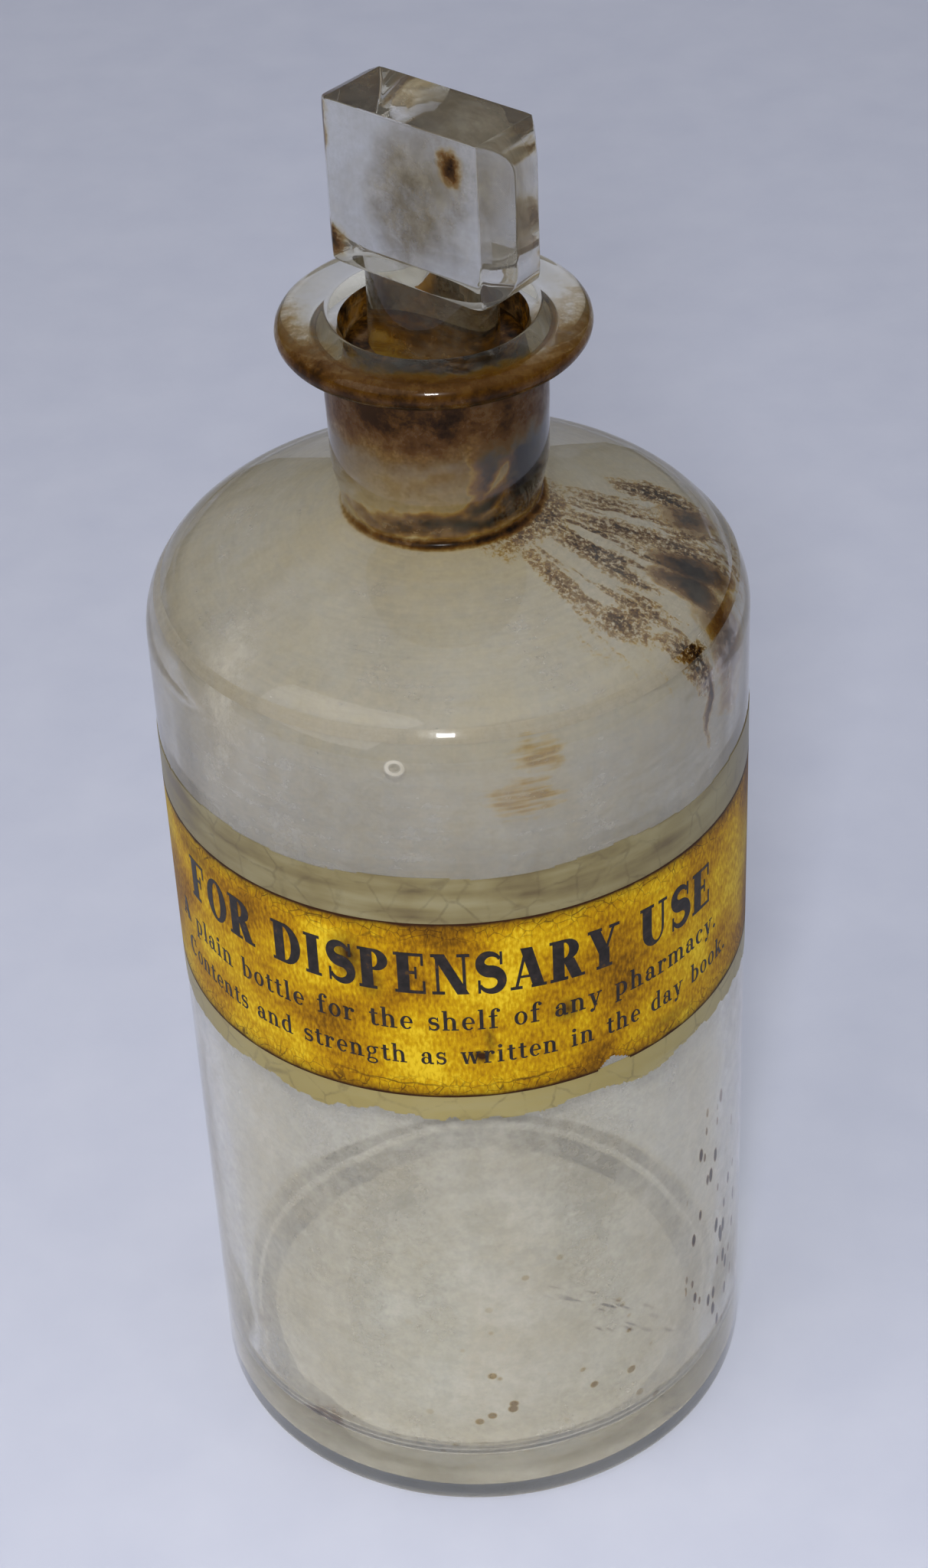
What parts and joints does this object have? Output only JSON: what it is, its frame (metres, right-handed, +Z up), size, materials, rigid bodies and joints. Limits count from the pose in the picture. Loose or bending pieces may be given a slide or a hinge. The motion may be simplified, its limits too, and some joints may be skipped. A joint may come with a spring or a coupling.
{
  "type": "stoppered pharmacy bottle",
  "caption": "Round clear-glass pharmacy stock bottle with a flat-headed ground-glass stopper that lifts out, and a varnished paper label round its front.",
  "frame": {"origin": "centre of the base, on the surface that the bottle stands on", "axes": "+Z up along the bottle's axis, out of its mouth; -Y towards the middle of the label"},
  "size_m": [0.0824, 0.0822, 0.2108],
  "materials": {
    "bottle_glass": "clear soda-lime glass, blown, with syrup stains and a thin film of dirt inside",
    "stopper_glass": "clear pressed and cut glass, with a ground matt plug",
    "label_paper": "amber-yellowed varnished paper with dark print",
    "label_varnish": "yellowed, flaking spirit varnish"
  },
  "bodies": {
    "bottle_body": {"bottle": "bottle_glass", "paper_label": "label_paper", "label_varnish": "label_varnish"},
    "stopper_body": {"stopper": "stopper_glass"}
  },
  "joints": [
    {"name": "stopper_lift", "type": "slide", "parent": "bottle_body", "child": "stopper_body", "axis": [0, 0, 1], "range_m": [0, 0.05]}
  ]
}
